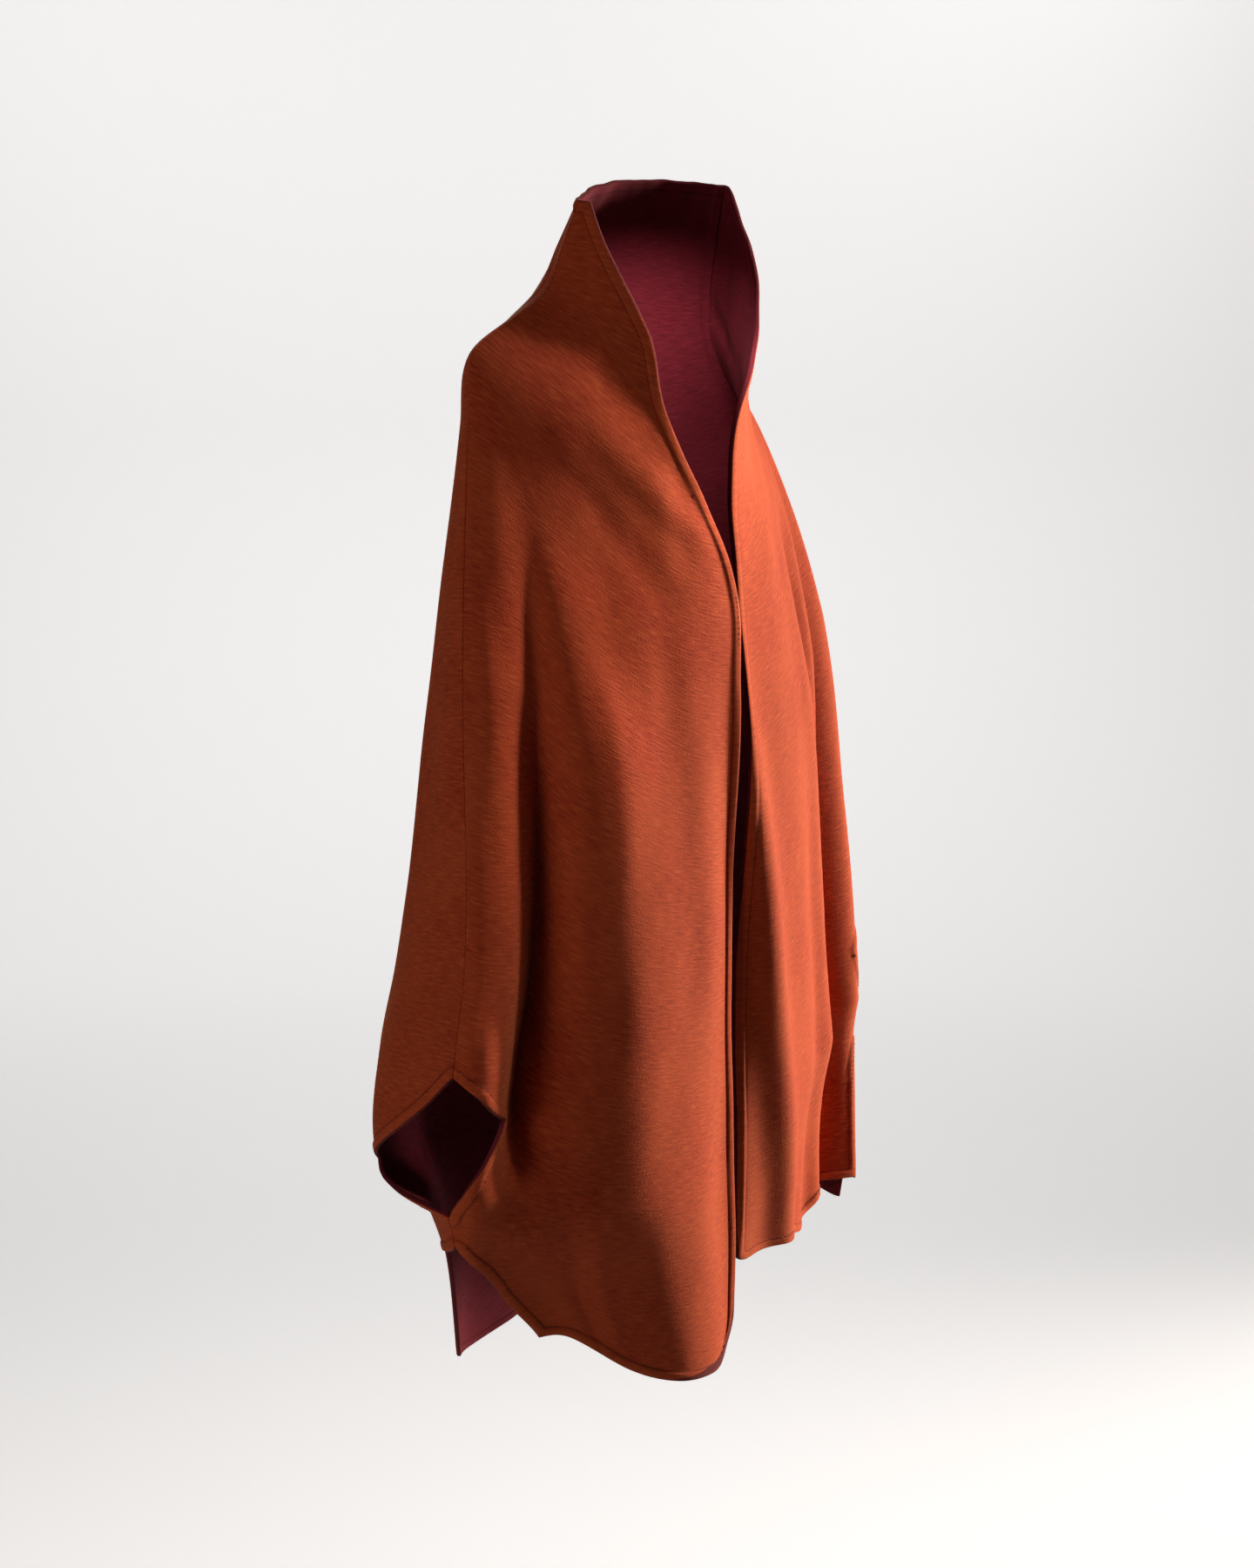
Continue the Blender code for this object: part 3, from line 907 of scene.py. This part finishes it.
@dataclass(frozen=True)
class Tint:
    """A share of a colour, mixed in from none where a reading is start to all at end."""

    start: float
    end: float
    share: float
    course: str = "SMOOTHSTEP"


class NodeSheet:
    """A material's node tree while it is being drawn."""

    def __init__(self, name: str) -> None:
        """Starts a material with only its Principled shader and its output."""
        self.material = bpy.data.materials.new(name)
        self.material.use_nodes = True
        self.tree = self.material.node_tree
        self.shader = self.tree.nodes["Principled BSDF"]

    def add(self, kind: str, settings: dict | None = None,
            inputs: dict | None = None) -> bpy.types.Node:
        """Adds a node with its settings, socket values and links.

        Args:
            kind: The node's type.
            settings: Its own properties.
            inputs: Socket name or number to a value, or to an output socket to link.

        Returns:
            The node.
        """
        node = self.tree.nodes.new(kind)
        for name, value in (settings or {}).items():
            setattr(node, name, value)
        self.feed(node, inputs or {})
        return node

    def feed(self, node: bpy.types.Node, inputs: dict) -> None:
        """Sets a node's sockets, or links those that are given an output socket."""
        for name, value in inputs.items():
            if isinstance(value, bpy.types.NodeSocket):
                self.tree.links.new(value, node.inputs[name])
            else:
                node.inputs[name].default_value = value

    def noise(self, place: bpy.types.NodeSocket, scale: float, detail: float,
              roughness: float) -> bpy.types.NodeSocket:
        """Adds a flat noise and gives its value."""
        return self.add("ShaderNodeTexNoise", {"noise_dimensions": "2D"}, {
            "Vector": place, "Scale": scale, "Detail": detail,
            "Roughness": roughness}).outputs["Fac"]

    def mix_in(self, body: tuple[float, ...] | bpy.types.NodeSocket, tint: Tint,
               reading: bpy.types.NodeSocket, colour: str) -> bpy.types.NodeSocket:
        """Mixes a tint of a colour into a body colour.

        Args:
            body: The colour so far, as a value or an output socket.
            tint: How much of the new colour shows, by the reading.
            reading: The output socket that the tint follows.
            colour: The new colour.

        Returns:
            The mixed colour's socket.
        """
        amount = self.add("ShaderNodeMapRange", {"interpolation_type": tint.course}, {
            "Value": reading, "From Min": tint.start, "From Max": tint.end, "To Max": tint.share})
        return self.add("ShaderNodeMix", {"data_type": "RGBA"}, {
            0: amount.outputs["Result"], 6: body, 7: linear(colour)}).outputs[2]

    def varied(self, colour: str, scale: float, detail: float,
               shades: tuple[float, float]) -> bpy.types.NodeSocket:
        """A colour that a noise in the object's own space makes darker and lighter."""
        place = self.add("ShaderNodeTexCoord").outputs["Object"]
        grain = self.add("ShaderNodeTexNoise", inputs={
            "Vector": place, "Scale": scale, "Detail": detail}).outputs["Fac"]
        shade = self.add("ShaderNodeMapRange", inputs={
            "Value": grain, "To Min": shades[0], "To Max": shades[1]}).outputs["Result"]
        return self.add("ShaderNodeHueSaturation", inputs={
            "Value": shade, "Color": linear(colour)}).outputs["Color"]


@dataclass(frozen=True)
class MilledWool:
    """One face of the double-face coating wool: spun melange yarn, milled and brushed.

    The eye sees a matt surface with short streaks of darker and lighter fibre lying
    across the cloth, a soft bloom of nap at grazing angles, and no weave. The turned
    hem is painted a shade lighter, a painted highlight on its raised band, and the
    groove of the line sewn along it is painted darker, a painted shade. The burgundy
    face shows as a thin line at the edge. The hem's tints are read in millimetres.
    """

    name: str
    body: str
    light: str
    dark: str
    nap: str
    edge: str
    nap_strength: float
    streak_length_mm: float = 13.0
    streak_height_mm: float = 2.0
    fleck_mm: float = 2.2
    cloud_mm: float = 90.0
    roughness: float = 0.92
    bump_strength: float = 0.55
    bump_height: float = 0.5 * MM
    light_streaks: Tint = Tint(0.50, 0.76, 0.60)
    dark_streaks: Tint = Tint(0.50, 0.24, 0.65)
    dark_flecks: Tint = Tint(0.55, 0.80, 0.45)
    light_clouds: Tint = Tint(0.3, 0.7, 0.25, "LINEAR")
    # Painted highlight: the raised band of the turned hem is tinted lighter.
    hem_highlight: Tint = Tint(HEM_MM, HEM_MM - 1.6, 0.16)
    # Painted shade: the groove at the hem's stitching is tinted darker.
    stitch_groove_shade: Tint = Tint(1.5, 0.4, 0.50)
    bound_edge: Tint = Tint(0.2, -0.4, 1.0)

    def build(self) -> bpy.types.Material:
        """Draws the wool: streaks and flecks mix the colours and raise a fine bump."""
        sheet = NodeSheet(self.name)
        uv = sheet.add("ShaderNodeUVMap", {"uv_map": "UVMap"}).outputs["UV"]
        drawn = sheet.add("ShaderNodeMapping", inputs={
            "Vector": uv,
            "Scale": (1.0 / (self.streak_length_mm * MM), 1.0 / (self.streak_height_mm * MM), 1.0)})
        streak = sheet.noise(drawn.outputs["Vector"], 1.0, 3.0, 0.6)
        fleck = sheet.noise(uv, 1.0 / (self.fleck_mm * MM), 2.0, 0.7)
        cloud = sheet.noise(uv, 1.0 / (self.cloud_mm * MM), 2.0, 0.5)
        body = sheet.mix_in(linear(self.body), self.light_streaks, streak, self.light)
        body = sheet.mix_in(body, self.dark_streaks, streak, self.dark)
        body = sheet.mix_in(body, self.dark_flecks, fleck, self.dark)
        body = sheet.mix_in(body, self.light_clouds, cloud, self.light)
        hem = sheet.add("ShaderNodeAttribute", {"attribute_name": HEM_DISTANCE}).outputs["Fac"]
        # Painted highlight: the turned hem is tinted lighter, as light catches its raised band.
        body = sheet.mix_in(body, self.hem_highlight, hem, self.light)
        # Painted shade: the cloth is tinted darker in the groove at the stitching.
        away = sheet.add("ShaderNodeMath", {"operation": "SUBTRACT"}, {0: hem, 1: HEM_MM})
        away = sheet.add("ShaderNodeMath", {"operation": "ABSOLUTE"}, {0: away.outputs[0]})
        body = sheet.mix_in(body, self.stitch_groove_shade, away.outputs[0], self.dark)
        lining = sheet.add("ShaderNodeAttribute", {"attribute_name": LINING_DISTANCE}).outputs["Fac"]
        body = sheet.mix_in(body, self.bound_edge, lining, self.edge)
        height = sheet.add("ShaderNodeMath", {"operation": "ADD"}, {0: fleck, 1: streak})
        bump = sheet.add("ShaderNodeBump", inputs={
            "Height": height.outputs[0], "Strength": self.bump_strength,
            "Distance": self.bump_height})
        sheet.feed(sheet.shader, {
            "Base Color": body, "Roughness": self.roughness, "IOR": 1.45,
            "Specular IOR Level": 0.25, "Sheen Weight": self.nap_strength,
            "Sheen Roughness": 0.45, "Sheen Tint": linear(self.nap),
            "Normal": bump.outputs["Normal"]})
        return sheet.material


@dataclass(frozen=True)
class SewingThread:
    """Spun polyester thread, a shade darker than the cloth, so a stitch reads as a dash."""

    name: str
    colour: str
    roughness: float = 0.7
    ply_mm: float = 0.5
    shades: tuple[float, float] = (0.7, 1.2)

    def build(self) -> bpy.types.Material:
        """Draws the thread: its twist shows as a fine ripple of colour along it."""
        sheet = NodeSheet(self.name)
        colour = sheet.varied(self.colour, 1.0 / (self.ply_mm * MM), 1.0, self.shades)
        sheet.feed(sheet.shader, {"Base Color": colour, "Roughness": self.roughness})
        return sheet.material


@dataclass(frozen=True)
class StudioPaper:
    """The seamless pale paper that the studio is hung with: matt, with a faint tooth.

    It glows a little, to the camera alone, so it looks like a lit backdrop and
    throws none of that light on the cape.
    """

    name: str = "seamless paper"
    colour: str = "#f6f5f4"
    glow: float = 0.62
    tooth_scale: float = 8.0
    shades: tuple[float, float] = (0.985, 1.0)

    def build(self) -> bpy.types.Material:
        """Draws the paper: a white that hardly varies, and its glow."""
        sheet = NodeSheet(self.name)
        colour = sheet.varied(self.colour, self.tooth_scale, 2.0, self.shades)
        seen = sheet.add("ShaderNodeLightPath").outputs["Is Camera Ray"]
        glow = sheet.add("ShaderNodeMapRange", inputs={"Value": seen, "To Max": self.glow})
        sheet.feed(sheet.shader, {
            "Base Color": colour, "Roughness": 1.0, "Specular IOR Level": 0.0,
            "Emission Color": linear(self.colour), "Emission Strength": glow.outputs["Result"]})
        return sheet.material


@dataclass
class Cape:
    """The whole garment: a back, two fronts and the stitching of their hems."""

    form: CapeForm = field(default_factory=CapeForm)
    side_rows: tuple[int, int, int, int] = (170, 40, 8, 36)
    front_columns: int = 62
    back_columns: int = 126
    leg_points: int = 12
    outside: MilledWool = MilledWool(
        "burnt orange milled wool", "#b53e1c", "#d2602e", "#7e2410", "#e89c66", "#641420", 0.32)
    inside: MilledWool = MilledWool(
        "burgundy milled wool", "#6d1722", "#842432", "#4a0d15", "#a05058", "#641420", 0.12)
    thread: SewingThread = SewingThread("rust sewing thread", "#5a1a10")
    front_sides: dict[Side, tuple[tuple[float, float], ...]] = field(default_factory=lambda: {
        Side.RIGHT: ((0.790, 90), (0.800, 79), (0.819, 67), (0.890, 90), (0.920, 90),
                     (0.945, 72), (0.965, 67.5), (1.060, 60)),
        Side.LEFT: ((0.790, 90), (0.818, 79), (0.890, 90), (0.920, 90), (1.060, 80)),
    })
    back_sides: dict[Side, tuple[tuple[float, float], ...]] = field(default_factory=lambda: {
        Side.RIGHT: ((0.790, 90), (0.870, 118), (0.882, 113), (0.890, 90), (0.920, 90),
                     (0.955, 128), (1.060, 139)),
        Side.LEFT: ((0.790, 90), (0.866, 114), (0.890, 90), (0.920, 90), (1.060, 98)),
    })

    def side_path(self, corners: tuple[tuple[float, float], ...], side: Side) -> np.ndarray:
        """Bearing and fall down a side edge, with a row at each of its corners.

        Each stretch between the sleeve's end, the join's two ends and the hem has
        the same number of rows on every panel, so the rows of two panels meet at
        their seam. A stretch shares its rows out by the length of its legs.

        Args:
            corners: Fall and bearing of its corners, from the sleeve's end down.
            side: The wearer's side that the edge is on.

        Returns:
            The path, one row for each row of the grid.
        """
        foot = self.form.length - EDGE_STEPS[-1]
        falls, bearings = (np.array(column) for column in zip(*corners))
        at = np.append(falls[:-1], foot)
        turn = np.append(bearings[:-1], np.interp(foot, falls, bearings))
        stops = np.searchsorted(at, [self.form.sleeve_end, self.form.join_top, self.form.join_end, foot])
        sleeve = np.linspace(EDGE_STEPS[-1], self.form.sleeve_end, self.side_rows[0], endpoint=False)
        sleeve = np.concatenate([EDGE_STEPS[:-1], sleeve])
        parts = [np.stack([np.full(len(sleeve), SIDE_SEAM), sleeve], axis=-1)]
        for first, last, rows in zip(stops[:-1], stops[1:], self.side_rows[1:]):
            legs = [self.leg_length(turn[k:k + 2], at[k:k + 2]) for k in range(first, last)]
            cuts = np.round(np.cumsum(legs) / sum(legs) * rows).astype(int)
            number = np.concatenate([[0], cuts])
            parts.append(np.stack([np.interp(np.arange(rows), number, line[first:last + 1])
                                   for line in (turn, at)], axis=-1))
        low = self.form.length - EDGE_STEPS[::-1]
        path = np.concatenate([*parts, np.stack([np.interp(low, falls, bearings), low], axis=-1)])
        if side is Side.LEFT:
            path[:, 0] = 360.0 - path[:, 0]
        return path

    def leg_length(self, bearings: np.ndarray, falls: np.ndarray) -> float:
        """The length on the form of the leg between two corners of a side edge."""
        share = np.linspace(0.0, 1.0, self.leg_points)
        line = self.form.smooth_point(bearings[0] + (bearings[1] - bearings[0]) * share,
                                      falls[0] + (falls[1] - falls[0]) * share)
        return float(np.linalg.norm(np.diff(line, axis=0), axis=1).sum())

    def front_path(self, side: Side, rows: int) -> np.ndarray:
        """Bearing and fall down a front edge, evenly spaced but for the hems' rows."""
        hem, length = EDGE_STEPS[-1], self.form.length
        falls = np.concatenate([
            EDGE_STEPS[:-1],
            np.linspace(hem, length - hem, rows - 2 * len(EDGE_STEPS) + 2),
            length - EDGE_STEPS[-2::-1]])
        edge = self.form.front_edge(side, falls)
        return np.stack([edge if side is Side.RIGHT else 360.0 - edge, falls], axis=-1)

    def panels(self) -> list[ClothPanel]:
        """The three cut pieces, each named for the node that it stands for."""
        made = []
        for side in Side:
            last = self.side_path(self.front_sides[side], side)
            first = self.front_path(side, len(last))
            made.append(ClothPanel(f"front_{side.value}", self.form, first, last, True,
                                   self.front_columns, side is Side.LEFT))
        right = self.side_path(self.back_sides[Side.RIGHT], Side.RIGHT)
        left = self.side_path(self.back_sides[Side.LEFT], Side.LEFT)
        made.append(ClothPanel("back", self.form, right, left, False, self.back_columns, False))
        return made

    def build(self) -> None:
        """Builds, dresses and declares every piece of the cape."""
        outside, inside, thread = self.outside.build(), self.inside.build(), self.thread.build()
        for panel in self.panels():
            piece = panel.build()
            piece.name = f"{panel.name}_cloth"
            piece.data.materials.append(outside)
            piece.data.materials.append(inside)
            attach(piece, "root")
            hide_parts(panel.name)
            stitches = Stitching(panel).build()
            stitches.data.materials.append(thread)
            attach(stitches, "root")


@dataclass(frozen=True)
class SoftBox:
    """A soft box: its place and what it is turned to, its size, watts, spread and colour."""

    place: tuple[float, float, float]
    aim: tuple[float, float, float]
    size: tuple[float, float]
    power: float
    spread: float
    colour: str = "#ffffff"


@dataclass
class Studio:
    """A pale paper sweep, soft lights and the camera at the photo's place."""

    floor_height: float = -1.42
    sweep_radius: float = 1.2
    wall_distance: float = 3.4
    wall_height: float = 6.0
    floor_start: float = -5.0
    arc_points: int = 24
    half_width: float = 6.0
    camera_azimuth: float = -50.0
    camera_distance: float = 1.65
    camera_height: float = -0.03
    camera_pitch: float = 13.5
    focal_pixels: float = 2080.0
    centre_pixel: float = 718.0
    picture: tuple[int, int] = (1440, 1800)
    sensor: float = 36.0
    room_light: float = 0.02
    room_look: float = 0.86
    lamps: dict[str, SoftBox] = field(default_factory=lambda: {
        "key": SoftBox((1.99, -0.94, -0.40), (0.0, -0.05, -0.58), (0.3, 1.8), 15.0, 56.0, "#fff4ea"),
        "fill": SoftBox((-2.60, 0.20, 0.20), (0.0, 0.0, -0.50), (1.4, 1.6), 2.1, 60.0),
        "chest": SoftBox((0.68, -0.71, 1.15), (-0.02, -0.12, -0.08), (0.2, 0.2), 0.33, 14.0),
        "front": SoftBox((0.69, -1.48, 0.90), (0.0, 0.0, -0.45), (0.8, 0.8), 0.2, 60.0),
        "neck": SoftBox((-0.005, -0.09, 0.008), (0.065, 0.065, -0.09), (0.1, 0.1), 0.19, 100.0),
        "rear": SoftBox((2.0, 2.4, 0.8), (0.0, 0.0, -0.40), (1.4, 1.6), 6.0, 60.0),
        "paper left": SoftBox((-0.4, 2.4, 2.2), (2.0, 2.9, 0.0), (1.6, 1.6), 8.0, 90.0),
        "paper right": SoftBox((2.8, 0.2, 2.2), (2.8, 2.2, 0.0), (1.6, 1.6), 8.0, 90.0),
    })

    def away(self) -> np.ndarray:
        """The level direction in which the camera looks."""
        turn = math.radians(self.camera_azimuth)
        return np.array([-math.sin(turn), math.cos(turn)])

    def build_sweep(self) -> None:
        """Builds the paper: a floor, a quarter circle and a wall behind, in one sheet."""
        away = self.away()
        right = np.array([away[1], -away[0]])
        arc = np.linspace(0.0, math.pi / 2, self.arc_points)
        bend = self.wall_distance - self.sweep_radius * (1.0 - np.sin(arc))
        reach = np.concatenate([[self.floor_start], bend, [self.wall_distance]])
        height = np.concatenate([[0.0], self.sweep_radius * (1.0 - np.cos(arc)), [self.wall_height]])
        side = np.linspace(-self.half_width, self.half_width, 3)
        flat = reach[:, None, None] * away + side[None, :, None] * right
        level = np.broadcast_to((height + self.floor_height)[:, None, None], (*flat.shape[:2], 1))
        points = np.concatenate([flat, level], axis=-1)
        index = np.arange(points.shape[0] * 3).reshape(-1, 3)
        faces = np.stack([index[:-1, :-1], index[:-1, 1:], index[1:, 1:], index[1:, :-1]], axis=-1)
        sweep = link_mesh("paper_sweep", points.reshape(-1, 3), faces.reshape(-1, 4)[:, ::-1])
        sweep.data.materials.append(StudioPaper().build())

    def add_light(self, name: str, lamp: SoftBox) -> None:
        """Adds a soft box to the scene, turned towards the place that it lights."""
        light = bpy.data.lights.new(name, "AREA")
        light.shape = "RECTANGLE"
        light.size, light.size_y = lamp.size
        light.energy = lamp.power
        light.spread = math.radians(lamp.spread)
        light.color = linear(lamp.colour)[:3]
        stand = bpy.data.objects.new(name, light)
        bpy.context.scene.collection.objects.link(stand)
        stand.location = lamp.place
        stand.visible_camera = False
        aim = Vector(lamp.aim) - Vector(lamp.place)
        stand.rotation_euler = aim.to_track_quat("-Z", "Y").to_euler()

    def build_lights(self) -> None:
        """Adds the soft boxes and the room.

        The room looks pale all round, and sheds only a little of that light, as a
        large room does on something that stands far from its walls.
        """
        for name, lamp in self.lamps.items():
            self.add_light(name, lamp)
        world = bpy.data.worlds.new("pale room")
        world.use_nodes = True
        tree = world.node_tree
        seen = tree.nodes.new("ShaderNodeLightPath")
        level = tree.nodes.new("ShaderNodeMapRange")
        level.inputs["To Min"].default_value = self.room_light
        level.inputs["To Max"].default_value = self.room_look
        tree.links.new(seen.outputs["Is Camera Ray"], level.inputs["Value"])
        tree.links.new(level.outputs["Result"], tree.nodes["Background"].inputs["Strength"])
        tree.nodes["Background"].inputs["Color"].default_value = linear("#ffffff")
        bpy.context.scene.world = world
        bpy.context.scene.view_settings.view_transform = "Standard"

    def build_camera(self) -> None:
        """Sets the camera where the photo was taken from, level with the cape's chest."""
        turn = math.radians(self.camera_azimuth)
        data = bpy.data.cameras.new("camera")
        data.sensor_width = self.sensor
        data.lens = self.sensor * self.focal_pixels / max(self.picture)
        data.shift_x = (self.picture[0] / 2 - self.centre_pixel) / max(self.picture)
        camera = bpy.data.objects.new("camera", data)
        bpy.context.scene.collection.objects.link(camera)
        camera.location = (math.sin(turn) * self.camera_distance,
                           -math.cos(turn) * self.camera_distance, self.camera_height)
        camera.rotation_euler = Euler((math.radians(90.0 - self.camera_pitch), 0.0, turn))
        bpy.context.scene.camera = camera

    def build(self) -> None:
        """Builds the whole studio."""
        self.build_sweep()
        self.build_lights()
        self.build_camera()


def main() -> None:
    """Builds the cape and its studio."""
    logging.basicConfig(level=logging.INFO, format="%(name)s: %(message)s")
    Cape().build()
    Studio().build()


if __name__ == "__main__":
    main()
